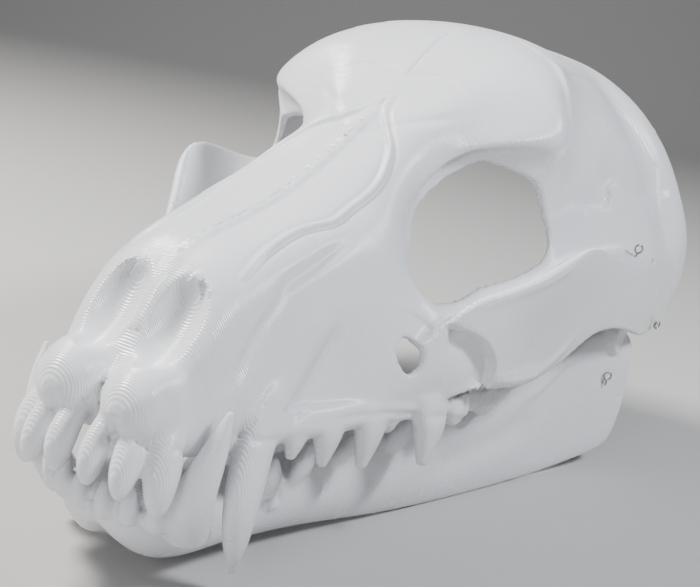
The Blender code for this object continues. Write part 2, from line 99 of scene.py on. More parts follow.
def cubic(knots, s):
    """Value at s of a smooth cubic through rows that start with their own s."""
    rows = np.array(knots, dtype=float)
    keys = rows[:, 0]
    s = min(max(s, keys[0]), keys[-1])
    slopes = np.gradient(rows[:, 1:], keys, axis=0)
    i = min(max(int(np.searchsorted(keys, s)) - 1, 0), len(keys) - 2)
    h = keys[i + 1] - keys[i]
    t = (s - keys[i]) / h
    start = (1 + 2 * t) * (1 - t) ** 2 * rows[i, 1:] + t * (1 - t) ** 2 * h * slopes[i]
    end = t * t * (3 - 2 * t) * rows[i + 1, 1:] + t * t * (t - 1) * h * slopes[i + 1]
    return start + end


def on_surface(outline):
    """Cage points that bring a subdivided section close to the given points."""
    points = np.array(outline, dtype=float)
    cage = points.copy()
    cage[1:-1] += 0.5 * (points[1:-1] - 0.5 * (points[:-2] + points[2:]))
    return cage


def make(name, build):
    """A mesh object from a function that fills a bmesh."""
    mesh = bpy.data.meshes.new(name)
    bm = bmesh.new()
    build(bm)
    if all(edge.is_manifold for edge in bm.edges):
        bmesh.ops.recalc_face_normals(bm, faces=bm.faces)
    bm.to_mesh(mesh)
    bm.free()
    obj = bpy.data.objects.new(name, mesh)
    bpy.context.scene.collection.objects.link(obj)
    return obj


def settle(obj):
    """Turn an object's modifiers into plain mesh."""
    bpy.context.view_layer.update()
    graph = bpy.context.evaluated_depsgraph_get()
    mesh = bpy.data.meshes.new_from_object(obj.evaluated_get(graph))
    obj.modifiers.clear()
    obj.data = mesh


def subdivide(obj, levels):
    """Round a cage off and keep the result as plain mesh."""
    mod = obj.modifiers.new("Smooth form", "SUBSURF")
    mod.levels = levels
    mod.render_levels = levels
    settle(obj)


def grid_faces(bm, rows, closed):
    """Faces between neighbouring rows of vertices; closed rows join their last point to their first."""
    for row, following in zip(rows, rows[1:]):
        count = len(row)
        for i in range(count if closed else count - 1):
            j = (i + 1) % count
            bm.faces.new((row[i], row[j], following[j], following[i]))


def build_shell(bm):
    """The shell as an open sheet, a little past the mid-plane, with its faces turned outwards."""
    rows = []
    for y in SHELL_STATIONS:
        outline = [(-cubic(rail, y)[0], cubic(rail, y)[1]) for rail in (SUTURE, NASAL)]
        outline += [tuple(cubic(rail, y)) for rail in RAILS]
        rows.append([bm.verts.new(place(x, y, z)) for x, z in on_surface(outline)])
    grid_faces(bm, rows, False)
    bm.normal_update()
    crown_face = max(bm.faces, key=lambda face: face.calc_center_median().z)
    if crown_face.normal.z < 0:
        bmesh.ops.reverse_faces(bm, faces=bm.faces)


skull = make("skull_print", build_shell)
subdivide(skull, 3)
wall = skull.modifiers.new("Wall", "SOLIDIFY")
wall.thickness = WALL * MM
wall.offset = -1.0
settle(skull)

# Front of the snout: solid plastic under the nostrils, with a round lobe over the incisors and a
# floor behind the infraorbital foramen. All of it is printed in one piece with the shell.
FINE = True
VOXEL = 0.85 if FINE else 1.6
SNOUT_STATIONS = (-160, -156, -150, -143, -137, -130, -120, -110)
SHELL_START = -119
INNER_SHARE = 0.93
GUM_Z = 60
LOBE = ((12.8, -155.4, 69), (13.6, 15.4, 14.2), 0.2)
FORAMEN_FLOOR = ((42.5, -64.5, 79.3), (5.5, 12, 14))


def build_snout(bm):
    """The solid front of the snout, from behind the incisors to inside the shell."""
    rows = []
    for y in SNOUT_STATIONS:
        shrink = INNER_SHARE if y > SHELL_START else 1.0
        outline = [(-cubic(rail, y)[0], cubic(rail, y)[1]) for rail in (SUTURE, NASAL)]
        outline += [tuple(cubic(rail, y)) for rail in RAILS[:7]]
        edge_x = cubic(LOWER_RIM, y)[0] - 1.5
        outline += [(edge_x, 57.0), (edge_x - 5, 54.5), (0.0, 55.5), (-12.0, 55.0)]
        rows.append([bm.verts.new(place(x * shrink, y, GUM_Z + (z - GUM_Z) * shrink))
                     for x, z in on_surface(outline)])
    grid_faces(bm, rows, True)
    bm.faces.new(rows[0])
    bm.faces.new(rows[-1])


def ellipsoid(bm, centre, radii, tilt_x=0.0):
    """A closed round body, tilted about X."""
    made = bmesh.ops.create_uvsphere(bm, u_segments=40, v_segments=28, radius=1.0)
    turn = Matrix.Rotation(tilt_x, 4, "X")
    scale = Matrix.Diagonal((radii[0] * MM, radii[1] * MM, radii[2] * MM, 1.0))
    bmesh.ops.transform(bm, matrix=Matrix.Translation(place(*centre)) @ turn @ scale, verts=made["verts"])


def merge(obj, others):
    """Take other closed bodies into obj's mesh, then make one skin of all of them by a voxel remesh."""
    bm = bmesh.new()
    bm.from_mesh(obj.data)
    for other in others:
        bm.from_mesh(other.data)
    bm.to_mesh(obj.data)
    bm.free()
    for other in others:
        bpy.data.objects.remove(other, do_unlink=True)
    skin = obj.modifiers.new("One skin", "REMESH")
    skin.mode = "VOXEL"
    skin.voxel_size = VOXEL * MM
    settle(obj)


snout = make("snout", build_snout)
subdivide(snout, 3)
lobe = make("premaxilla lobe", lambda bm: ellipsoid(bm, *LOBE))
backing = make("foramen floor", lambda bm: ellipsoid(bm, *FORAMEN_FLOOR))
merge(skull, [snout, lobe, backing])

# Openings of the skull: the orbit with its thin rim, the bowl of the nostril and the infraorbital
# foramen. The orbit's cutter narrows towards the middle of the mask.
ORBIT = ((42, -51, 108), (38, -43, 110.5), (33, -33, 114.5), (28.5, -22, 122), (28, -13, 128.5),
         (29, -5, 135.5), (32.5, 0, 140), (38, 3, 142.3), (45, 6, 142), (51, 12, 139.5), (57, 17, 136),
         (64, 21, 129), (68, 23, 122), (70, 24, 116), (71, 20, 109), (70, 11, 105), (67, -3, 101),
         (63.5, -19, 98.3), (58.5, -30, 95.3), (55, -44, 94), (48, -50, 99.5))
ORBIT_CENTRE = (-30, 10, 95)
NOSTRIL = ((11.6, -149.0, 95.0), (9.8, 9.0, 18.5), -0.67)
FORAMEN = ((57, -65.0, 79.3), (12.5, 4.6, 6.4))


def build_orbit_cut(bm):
    """A funnel through the wall, narrow inside and further out where the rim faces sideways."""
    inner = []
    outer = []
    rim = []
    steps = 3 * len(ORBIT)
    knots = [(i, *point) for i, point in enumerate(ORBIT[-3:] + ORBIT + ORBIT[:4])]
    for k in range(steps):
        x, y, z = cubic(knots, 3 + k / 3)
        inner.append(bm.verts.new(place(*[a + 0.35 * (b - a) for a, b in zip((x, y, z), ORBIT_CENTRE)])))
        rim.append(bm.verts.new(place(x, y, z)))
        share = min(max((z - 98) / 24, 0.0), 1.0)
        outer.append(bm.verts.new(place(x + 6 + 9 * share, y, z + 3 * (1 - share))))
    grid_faces(bm, [inner, rim, outer], True)
    bm.faces.new(inner)
    bm.faces.new(outer)


def cut(obj, tools):
    """Take tools away from obj. The tools are removed afterwards."""
    for tool in tools:
        mod = obj.modifiers.new("Cut", "BOOLEAN")
        mod.operation = "DIFFERENCE"
        mod.solver = "MANIFOLD"
        mod.object = tool
    settle(obj)
    for tool in tools:
        bpy.data.objects.remove(tool, do_unlink=True)


orbit_cut = make("orbit cut", build_orbit_cut)
nostril_cut = make("nostril cut", lambda bm: ellipsoid(bm, *NOSTRIL))
foramen_cut = make("foramen cut", lambda bm: ellipsoid(bm, *FORAMEN))
cut(skull, [orbit_cut, nostril_cut, foramen_cut])

# Upper teeth: printed on the skull, the cheek teeth on a bar. A tooth is a path from root to tip with
# its half-widths across and along the row. They go three incisors, canine, cheek teeth.
TOOTH_BAR = ((36, -130, 62), (41, -113, 61), (45, -98, 60.5), (50, -76, 60), (58, -48, 59),
             (62, -22, 56), (63.5, 0, 52), (64, 16, 52))
UPPER_TEETH = (
    (((6.3, -160, 68), (6.4, -167, 60), (6.4, -170.5, 53.5), (6.2, -171, 47.5), (6, -169.8, 44.5)),
     (3.2, 4.5, 4.9, 3.9, 1.6), (3.5, 4.2, 4.4, 3.0, 1.2)),
    (((14.5, -157, 68), (16, -164.5, 60), (17, -168.3, 52), (17.3, -169.5, 46), (17.3, -168.8, 43)),
     (3.2, 4.7, 5.1, 3.9, 1.6), (3.5, 4.4, 4.6, 3.2, 1.2)),
    (((21, -151, 70), (24, -158, 60), (25.8, -161.8, 51), (26.2, -162.3, 42.5), (26, -161.5, 37)),
     (3.4, 4.9, 5.2, 3.7, 1.4), (4.5, 5.6, 5.6, 3.9, 1.3)),
    (((32, -116, 80), (35.5, -124, 66), (37.5, -131, 52), (38.5, -134, 38), (38, -133, 24),
      (36.7, -129.8, 11.5)),
     (3.0, 5.2, 6.0, 5.5, 4.0, 1.1), (5.0, 7.8, 7.8, 6.8, 4.7, 1.2)),
    (((41.5, -112, 62), (42, -113, 56), (42, -114, 49)), (3.6, 3.4, 1.5), (6.8, 5.4, 1.8)),
    (((45.5, -97, 62), (46, -98, 54), (46.2, -98.8, 43.5)), (4.6, 4.4, 1.6), (9.4, 6.8, 1.9)),
    (((50, -75, 62), (50.8, -75.5, 52), (50.8, -77, 38)), (5.0, 4.7, 1.7), (12, 8.2, 2.1)),
    (((52, -65, 60), (52.5, -65, 54), (52.8, -64.5, 49.5)), (4.2, 3.8, 1.6), (6, 4.6, 1.8)),
    (((59, -47, 62), (61.5, -48, 51), (62.6, -50.5, 35.8)), (6, 5.4, 1.8), (13, 9.2, 2.2)),
    (((62, -31, 60), (63.5, -30, 53), (64, -29, 48)), (5.4, 5.0, 2.4), (10, 8.4, 4.5)),
    (((63, -4, 58), (64.5, -3, 50), (64.5, -4, 45)), (5.5, 4.8, 2), (9, 7.5, 4)))


def tube(bm, path, across, lengthways, sides=20, rings=14):
    """A tapered closed body round a smooth path of (x, y, z)."""
    knots = [(i, *point, a, b) for i, (point, a, b) in enumerate(zip(path, across, lengthways))]
    samples = [cubic(knots, (len(knots) - 1) * k / rings) for k in range(rings + 1)]
    points = [place(*s[:3]) for s in samples]
    outward = Vector((path[0][0], path[0][1] + 100.0, 0.0)).normalized()
    side = Vector((1.0, 0.0, 0.0)) if abs(path[0][0]) > 30 else outward
    rows = []
    for i, point in enumerate(points):
        direction = (points[min(i + 1, rings)] - points[max(i - 1, 0)]).normalized()
        wide = (side - direction * side.dot(direction)).normalized()
        deep = direction.cross(wide)
        row = []
        for k in range(sides):
            angle = 2 * math.pi * k / sides
            reach = wide * (samples[i][3] * MM * math.cos(angle))
            row.append(bm.verts.new(point + reach + deep * (samples[i][4] * MM * math.sin(angle))))
        rows.append(row)
    grid_faces(bm, rows, True)
    bm.faces.new(rows[0])
    bm.faces.new(rows[-1])


upper = [make("tooth bar", lambda bm: tube(bm, TOOTH_BAR, [5.0] * 8, [6.0] * 8, rings=30))]
for path, across, lengthways in UPPER_TEETH:
    upper.append(make("upper tooth", lambda bm: tube(bm, path, across, lengthways)))

# Hinge of the jaw on the skull: an inner lug on a web from the wall, with a stub that turns in the
# jaw. It is printed on the skull. The joined form is then smoothed, most along its cut rims.
HINGE_Y = 92.0
HINGE_Z = 68.0
STUB_RADIUS = 3.0
LUG_X = 73.5
LUG_THICK = 4.0
LOBE_EDGE = ((27, -150, 64), (25, -149, 74), (18, -150, 83), (9, -152, 83), (0, -156, 80), (-9, -152, 83))


def cylinder_x(bm, y, z, radius, x_from, x_to):
    """A round bar along X."""
    made = bmesh.ops.create_cone(bm, cap_ends=True, segments=40, radius1=radius * MM,
                                 radius2=radius * MM, depth=(x_to - x_from) * MM)
    turn = Matrix.Rotation(math.pi / 2, 4, "Y")
    bmesh.ops.transform(bm, matrix=Matrix.Translation(place((x_from + x_to) / 2, y, z)) @ turn,
                        verts=made["verts"])


def block(bm, low, high):
    """A box between two corners."""
    made = bmesh.ops.create_cube(bm, size=1.0)
    centre = place(*[(a + b) / 2 for a, b in zip(low, high)])
    scale = Matrix.Diagonal([(b - a) * MM for a, b in zip(low, high)] + [1.0])
    bmesh.ops.transform(bm, matrix=Matrix.Translation(centre) @ scale, verts=made["verts"])


def relax(obj, rounds):
    """Laplacian smoothing that takes the voxel steps off without shrinking the form much."""
    mod = obj.modifiers.new("Relax", "SMOOTH")
    mod.factor = 0.5
    mod.iterations = rounds
    settle(obj)


def soften(obj, line, reach, rounds):
    """Extra smoothing along a closed line of points, so that a cut edge becomes a rounded rim."""
    ends = np.array([list(point) for point in line]) / MM
    count = len(obj.data.vertices)
    places = np.empty(count * 3)
    obj.data.vertices.foreach_get("co", places)
    places = places.reshape(-1, 3) / MM
    best = np.full(count, 1e9)
    for a, b in zip(ends, ends[1:]):
        way = b - a
        share = np.clip((places - a) @ way / (way @ way), 0, 1)
        best = np.minimum(best, np.linalg.norm(places - a - share[:, None] * way, axis=1))
    group = obj.vertex_groups.new(name="rim")
    weights = np.clip(1.5 * (1 - best / reach), 0, 1)
    for index in np.nonzero(weights > 0.02)[0]:
        group.add([int(index)], float(weights[index]), "REPLACE")
    mod = obj.modifiers.new("Soft rim", "SMOOTH")
    mod.factor = 0.5
    mod.iterations = rounds
    mod.vertex_group = "rim"
    settle(obj)
    obj.vertex_groups.clear()


upper.append(make("lug eye", lambda bm: cylinder_x(bm, HINGE_Y, HINGE_Z, 6.5, LUG_X, LUG_X + LUG_THICK)))
upper.append(make("lug plate", lambda bm: block(bm, (LUG_X + 0.2, 85.8, HINGE_Z), (LUG_X + 3.8, 98.2, 89.5))))
upper.append(make("lug web", lambda bm: block(bm, (LUG_X + 0.5, 86, 82), (97, 98, 89))))
upper.append(make("hinge stub", lambda bm: cylinder_x(bm, HINGE_Y, HINGE_Z, STUB_RADIUS, LUG_X + 2, 85)))
merge(skull, upper)
relax(skull, 5 if FINE else 2)
soften(skull, [place(*point) for point in LOBE_EDGE], 8.0, 40 if FINE else 12)
soften(skull, [place(*point) for point in ORBIT + ORBIT[:1]], 6.5, 30 if FINE else 9)

# Relief of the skull: sutures, ridges, grooves and bone edges, printed into the surface. Each stroke
# is (form, height, width, points). Saw teeth run under the front of the cheek arch.
SKULL_STROKES = (
    ("step", 1.4, 5.0, ((38.1, 52.1, 184.3), (46.7, 46.9, 180.4), (60.4, 31.6, 166.8), (62.8, 30.9, 162.8),
                        (64.2, 29.6, 157.1), (65.3, 19.2, 151.7), (61.4, 16.4, 143.7), (54.5, 11.1, 139.9))),
    ("groove", -0.45, 0.9, ((0, 7.2, 168.9), (0.2, 13.2, 173.1), (0, 41.5, 187.3), (0, 56, 190))),
    ("groove", -0.45, 0.9, ((27.2, 5.2, 166.8), (21.2, 7.5, 168.9), (12.9, 9.1, 170.1), (0, 7.2, 168.9))),
    ("seam", 1.1, 1.0, ((1.6, -5.3, 160.3), (4.5, -15.5, 154.2), (12.9, -26.6, 148.1), (18.5, -33.8, 143.1),
                        (22.8, -44.9, 135.6), (24.3, -54.5, 130.7), (24.3, -69.0, 125.3),
                        (24.5, -80.2, 121.7), (20.6, -96, 118.8), (20.3, -112.8, 114.0),
                        (21.8, -127.7, 107.4))),
    ("band", 1.5, 3.0, ((0, -136, 107), (0, -121.8, 114.2), (0, -110.7, 116.7), (0, -89.0, 121.5),
                         (0, -63.3, 130.5), (0, -34.4, 144.2), (0, -7.0, 159.2))),
    ("step", -2.6, 3.0, ((69.0, 34.4, 126.6), (70.2, 40.6, 127.6), (73.8, 49.8, 127.3), (77.8, 59.7, 127.1),
                         (78.4, 64.1, 129.9), (77.7, 65.4, 133.1), (76.8, 65.9, 136.4), (77.2, 69.0, 138.0),
                         (79.4, 74.0, 136.0), (83.0, 82.9, 133.1), (85.2, 90.4, 130.4),
                         (85.0, 106.7, 130.5), (84.9, 120.1, 130.6))),
    ("groove", -1.1, 1.1, ((49.2, 58, 178.5), (50, 72.5, 177.5), (54, 90, 172.7), (53.3, 112, 167.2),
                           (57.3, 120, 165.2), (61.9, 123.3, 161.0), (70.7, 124.7, 152.9),
                           (77.0, 124.6, 145.3), (80.7, 124.4, 140.0), (86.0, 118.6, 127.9),
                           (90.8, 117.0, 117.8), (96.5, 119, 106.4), (99.7, 127.7, 91.3))),
    ("groove", -2.0, 2.8, ((42.5, -119, 60), (43.4, -117.4, 65.2), (40.6, -105.6, 74.4),
                           (41.3, -91.3, 92.9))),
    ("ridge", 2.4, 6.0, ((38, -126, 64), (37, -118, 72), (36, -108, 85), (36, -98, 95))),
    ("groove", -1.7, 2.4, ((32.0, -143.7, 71.2), (31.7, -137.9, 79.3), (31.4, -129.4, 90.6),
                           (31.3, -118.3, 100.5), (30.5, -113.0, 105.5), (31.4, -97.9, 110.9),
                           (32.0, -79.9, 116.9))),
    ("groove", -0.8, 1.4, ((44, -112, 62), (48.5, -103.0, 61.9), (54.6, -77.9, 60.3), (64.2, -36.6, 52.8),
                           (66.3, -8.8, 46.2))),
    ("cliff", 1.6, 2.6, ((61.6, -52.3, 91.2), (66, -46, 88.5), (71.1, -40.3, 85.5), (73.5, -34.8, 80),
                         (74.5, -31.2, 75.0), (74.4, -30.4, 66.9))),
    ("step", -4.6, 2.8, ((74.4, -30.4, 63), (74.5, -31.2, 75.0), (73.5, -34.8, 80), (71.1, -40.3, 85.5),
                         (66, -46, 88.5), (61.6, -52.3, 91.2))),
    ("ridge", 1.0, 2.2, ((54.3, -51.2, 92.9), (67.4, -42.8, 98.1), (78.3, -29.4, 104.1),
                         (85.8, -17.2, 110.3), (90.9, -5.4, 118.3))),
    ("ridge", 0.8, 2.0, ((74.2, -31.2, 69.4), (80.9, -11.3, 66.7), (83.9, 0.2, 69.4), (86.6, 11.4, 75.1),
                         (88.9, 21.1, 81.5))),
    ("groove", -0.7, 2.2, ((30.7, -3.1, 157.8), (16.5, -17.7, 152.6), (3.0, -31.3, 145.9))),
    ("ridge", 0.9, 1.6, ((0.4, -138.2, 103.5), (0.2, -148.0, 90.3), (0.3, -157.3, 79))),
    ("ridge", 1.4, 3.0, ((8, -137, 105.5), (13, -138.5, 103.5), (17, -139, 100))),
    ("groove", -0.8, 1.6, ((0, -168, 60), (0, -168, 68), (0, -163, 76), (0, -155, 82))),
    ("groove", -1.2, 1.2, ((0, -170, 61), (6, -171, 61.5), (12, -169.5, 60), (18, -167, 60.5),
                           (23, -162, 58.5), (28, -155, 59))),
    ("groove", -0.9, 1.2, ((30, -134, 60), (37, -134, 59.5), (42.5, -126, 59.5))),
    ("groove", -0.9, 1.6, ((11.5, -168, 60), (11.5, -168, 67), (11, -164, 73))),
    ("groove", -0.9, 1.6, ((21, -162, 60), (20.5, -161, 67), (19, -158, 74))))
SERRATIONS = 11
SKULL_TRIANGLES = 186000


def stroke_shape(form, d, side, spot):
    """Height of a stroke at d widths from its line; side is above 0 to the left of the line's run."""
    if form == "seam":
        return np.exp(-d * d) - 0.55 * np.exp(-((d - 2.0) / 0.75) ** 2)
    if form == "step":
        return np.where(side > 0, np.exp(-(d / 3.2) ** 2), 0.0) * np.minimum(1.0, d / 0.5)
    if form == "cliff":
        return np.where(side > 0, 1.0, 0.0) * np.clip(d / 0.4, 0, 1) * np.exp(-(d / 5.0) ** 2)
    if form == "band":
        wobble = np.array([noise.noise(Vector(p) * 0.45) for p in spot])
        return np.exp(-d ** 4) * (0.9 + 0.35 * wobble)
    return np.exp(-d * d)


def carve(obj, strokes, side_share, middle_z):
    """Raise or sink the outer surface along lines: each stroke is (form, height, width, points).

    The outer surface is what faces away from a line inside the piece, at side_share of a point's own
    x and at height middle_z.
    """
    mesh = obj.data
    count = len(mesh.vertices)
    places = np.empty(count * 3)
    mesh.vertices.foreach_get("co", places)
    places = places.reshape(-1, 3) / MM + (0.0, MID_Y, FLOOR_Z)
    normals = np.empty(count * 3)
    mesh.vertices.foreach_get("normal", normals)
    normals = normals.reshape(-1, 3)
    lift = np.zeros(count)
    outward = places - np.stack([places[:, 0] * side_share, places[:, 1], np.full(count, middle_z)], axis=1)
    outer = (normals * outward).sum(axis=1) > 0
    for form, height, width, points in strokes:
        knots = [(i, *p) for i, p in enumerate(points)]
        fine = np.array([cubic(knots, k / 6) for k in range(6 * (len(points) - 1) + 1)])
        reach = width * 4 + 2
        near = outer & np.all(places > fine.min(axis=0) - reach - 4, axis=1)
        near &= np.all(places < fine.max(axis=0) + reach + 4, axis=1)
        chosen = np.nonzero(near)[0]
        if len(chosen) == 0:
            continue
        spot = places[chosen]
        up = normals[chosen]
        best = np.full(len(chosen), 1e9)
        sign = np.ones(len(chosen))
        run = np.zeros(len(chosen))
        lengths = np.linalg.norm(np.diff(fine, axis=0), axis=1)
        total = lengths.sum()
        gone = 0.0
        for a, b, length in zip(fine, fine[1:], lengths):
            along = (b - a) / max(length, 1e-6)
            share = np.clip(((spot - a) @ along), 0, length)
            offset = spot - (a + share[:, None] * along)
            high = (offset * up).sum(axis=1)
            flat = offset - high[:, None] * up
            distance = np.linalg.norm(flat, axis=1) + np.maximum(np.abs(high) - 6, 0)
            closer = distance < best
            side = (np.cross(along, flat) * up).sum(axis=1)
            best = np.where(closer, distance, best)
            sign = np.where(closer, np.sign(side), sign)
            run = np.where(closer, gone + share, run)
            gone += length
        ends = np.clip(np.minimum(run, total - run) / (0.18 * total), 0.0, 1.0)
        ends = 0.25 + 0.75 * ends * ends * (3 - 2 * ends)
        shape = stroke_shape(form, best / width, sign, spot)
        lift[chosen] += height * shape * ends
    places += normals * lift[:, None]
    places = (places - (0.0, MID_Y, FLOOR_Z)) * MM
    mesh.vertices.foreach_set("co", places.ravel())
    mesh.update()


def other_half(obj, triangles):
    """Keep the +X half with few enough triangles and mirror it."""
    bm = bmesh.new()
    bm.from_mesh(obj.data)
    bmesh.ops.bisect_plane(bm, geom=bm.verts[:] + bm.edges[:] + bm.faces[:], plane_co=(-0.003, 0, 0),
                           plane_no=(-1, 0, 0), clear_outer=True)
    bmesh.ops.triangulate(bm, faces=bm.faces)
    held = len(bm.faces)
    bm.to_mesh(obj.data)
    bm.free()
    if held > triangles / 2:
        thin = obj.modifiers.new("Fewer triangles", "DECIMATE")
        thin.ratio = triangles / 2 / held
    both = obj.modifiers.new("Other half", "MIRROR")
    both.use_axis = (True, False, False)
    both.use_bisect_axis = (True, False, False)
    both.merge_threshold = 0.00005
    settle(obj)
    obj.data.shade_smooth()


saw_teeth = []
for k in range(SERRATIONS):
    share = k / (SERRATIONS - 1)
    x, y, z = (75.5 + 6.5 * share, -29 + 25 * share, 66.5 + 0.5 * share)
    saw_teeth.append(("ridge", 0.9, 0.75, ((x, y, z), (x, y + 0.8, z + 5.5))))
carve(skull, SKULL_STROKES + tuple(saw_teeth), 0.3, 88.0)
hole_upper = make("hole", lambda bm: cylinder_x(bm, 67.1, 110.6, 1.0, 88, 103))
hole_rear = make("hole", lambda bm: cylinder_x(bm, 104.6, 74.2, 1.1, 90, 104))
hole_empty = make("hole", lambda bm: cylinder_x(bm, 86.5, 106.0, 1.1, 90, 104))
cut(skull, [hole_upper, hole_rear, hole_empty])
other_half(skull, SKULL_TRIANGLES)

# Finish of the skull: glossy white plastic laid down in layers that are square to its length. Where
# the surface lies along the layers they show as contour rings.
LAYER_PITCH = 0.62


def printed_plastic(name, layer_normal, pitch):
    """Glossy white plastic with print layers square to layer_normal, pitch millimetres apart."""
    material = bpy.data.materials.new(name)
    material.use_nodes = True
    tree = material.node_tree
    shader = tree.nodes["Principled BSDF"]

    def node(kind, **values):
        made = tree.nodes.new(kind)
        for key, value in values.items():
            setattr(made, key, value)
        return made

    def maths(operation, first, second=None):
        made = node("ShaderNodeMath", operation=operation)
        for socket, value in zip(made.inputs, (first, second)):
            if value is None:
                continue
            if isinstance(value, (int, float)):
                socket.default_value = value
            else:
                tree.links.new(value, socket)
        return made.outputs[0]

    coords = node("ShaderNodeTexCoord")
    height = node("ShaderNodeVectorMath", operation="DOT_PRODUCT")
    tree.links.new(coords.outputs["Object"], height.inputs[0])
    height.inputs[1].default_value = layer_normal
    facing = node("ShaderNodeVectorMath", operation="DOT_PRODUCT")
    tree.links.new(coords.outputs["Normal"], facing.inputs[0])
    facing.inputs[1].default_value = layer_normal
    turns = maths("MULTIPLY", height.outputs["Value"], 2 * math.pi / (pitch * MM))
    lines = maths("SINE", turns)
    patches = node("ShaderNodeTexNoise")
    patches.inputs["Scale"].default_value = 55.0
    patches.inputs["Detail"].default_value = 3.0
    tree.links.new(coords.outputs["Object"], patches.inputs["Vector"])
    single = node("ShaderNodeTexNoise", noise_dimensions="1D")
    single.inputs["Scale"].default_value = 1.0
    single.inputs["Detail"].default_value = 1.0
    tree.links.new(maths("DIVIDE", height.outputs["Value"], 1.4 * pitch * MM), single.inputs["W"])
    flatness = maths("POWER", maths("ABSOLUTE", facing.outputs["Value"]), 3.0)
    strength = maths("ADD", 0.55, maths("MULTIPLY", flatness, 0.9))
    strength = maths("MULTIPLY", strength, maths("ADD", 0.35, patches.outputs["Fac"]))
    ripple = maths("ADD", lines, maths("MULTIPLY", single.outputs["Fac"], 1.6))
    relief = maths("MULTIPLY", ripple, strength)
    bump = node("ShaderNodeBump")
    bump.inputs["Strength"].default_value = 1.0
    bump.inputs["Distance"].default_value = 0.00006
    tree.links.new(relief, bump.inputs["Height"])
    tree.links.new(bump.outputs["Normal"], shader.inputs["Normal"])
    tint = node("ShaderNodeMix", data_type="RGBA")
    tint.inputs[6].default_value = (0.68, 0.695, 0.725, 1.0)
    tint.inputs[7].default_value = (0.76, 0.765, 0.78, 1.0)
    tree.links.new(patches.outputs["Fac"], tint.inputs[0])
    tree.links.new(tint.outputs[2], shader.inputs["Base Color"])
    gloss = maths("ADD", 0.16, maths("MULTIPLY", patches.outputs["Fac"], 0.18))
    tree.links.new(gloss, shader.inputs["Roughness"])
    shader.inputs["IOR"].default_value = 1.46
    shader.inputs["Subsurface Weight"].default_value = 0.04
    shader.inputs["Subsurface Radius"].default_value = (1.0, 1.0, 1.0)
    shader.inputs["Subsurface Scale"].default_value = 0.0015
    return material


skull.data.materials.clear()
skull.data.materials.append(printed_plastic("white skull print", (0.0, 1.0, 0.0), LAYER_PITCH))
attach(skull, "cranium")
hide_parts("skull")

# Lower jaw: two branches joined at the chin, printed in one piece with its teeth and hung on the
# skull's stubs. Its layers are nearly level. Sections are (y, inner x, outer x, bottom x, top z, bottom z).
JAW_SECTIONS = (
    (-160, -8, 12, 6, 37, 27), (-153, -8, 18, 9, 37, 18), (-144, -8, 22, 12, 36, 11.5),
    (-133, -8, 25.5, 14, 34.5, 8.5), (-121, -8, 27.5, 16, 32, 8.5), (-112, 4, 29.5, 19, 33, 9),
    (-100, 12, 32.5, 22.5, 35, 8.5), (-82, 19.5, 37.5, 28, 37.5, 8), (-60, 28, 44, 35.5, 40, 6),
    (-30, 38, 53, 45, 43, 3), (0, 49, 61.5, 55, 44, 2.6), (28, 58, 69, 64, 47, 2.6),
    (50, 66, 75, 71, 55, 3), (66, 72, 80, 77, 65, 4.5), (80, 78, 86.5, 83, 70, 7),
    (95, 82, 91.5, 89, 71, 9.5), (109, 87, 97, 94, 66, 14))
LOWER_TEETH = (
    (((4.6, -158, 30), (4.8, -160, 36), (4.8, -160, 42)), (3.8, 3.4, 1.6), (4, 3, 1.2)),
    (((12.5, -156, 30), (13, -158, 36), (13, -158, 42)), (3.8, 3.4, 1.6), (4, 3, 1.2)),
    (((20, -152, 29), (21, -154, 36), (21.2, -154, 43)), (4.2, 3.8, 1.6), (4.4, 3.4, 1.2)),
    (((25, -143, 26), (29, -149, 38), (33.2, -150.5, 50), (35.6, -148.5, 62), (36.6, -146, 71.8)),
     (6.5, 6.3, 4.6, 3.0, 1.0), (8.5, 7.6, 5.6, 3.6, 1.1)),
    (((29.5, -106, 28), (32, -107, 37), (33.5, -108, 45)), (2.6, 3.0, 1.1), (6.5, 5.4, 1.2)),
    (((32, -88, 30), (34.5, -88.5, 38), (36, -89, 46)), (2.8, 3.2, 1.1), (8, 6.5, 1.2)),
    (((37, -66, 33), (39.5, -66, 40), (41, -66.5, 45)), (3, 3.2, 1.1), (9, 7, 1.2)),
    (((45.5, -38, 36), (47.5, -38, 42), (48.5, -37, 46)), (3.5, 3.4, 1.3), (11, 9, 2)))
JAW_STROKES = (
    ("groove", -1.6, 7.0, ((73.2, 44.1, 34), (64.0, 12.4, 27.1), (54.1, -20.6, 22))),
    ("ridge", 1.2, 2.6, ((80, 72, 66), (77.2, 63.2, 60.4), (72.9, 47.5, 50), (69.1, 34.1, 42.8))),
    ("groove", -0.9, 1.2, ((29.4, -110, 23), (33, -106, 24.5))),
    ("ridge", 1.0, 1.6, ((33, -104, 24), (35, -100, 24))),
    ("groove", -0.8, 1.6, ((31.5, -99, 30), (32, -99, 25))),
    ("groove", -0.8, 1.6, ((39, -77, 29), (39, -77, 23))),
    ("groove", -0.8, 1.6, ((45, -53, 28), (45, -53, 22))),
    ("groove", -1.0, 1.8, ((0, -160, 34), (0, -161, 28), (0, -155, 18))))
GAP = 0.3
CONDYLE_RADIUS = 8.5
JAW_TRIANGLES = 130000
LAYER_TILT = math.radians(22)


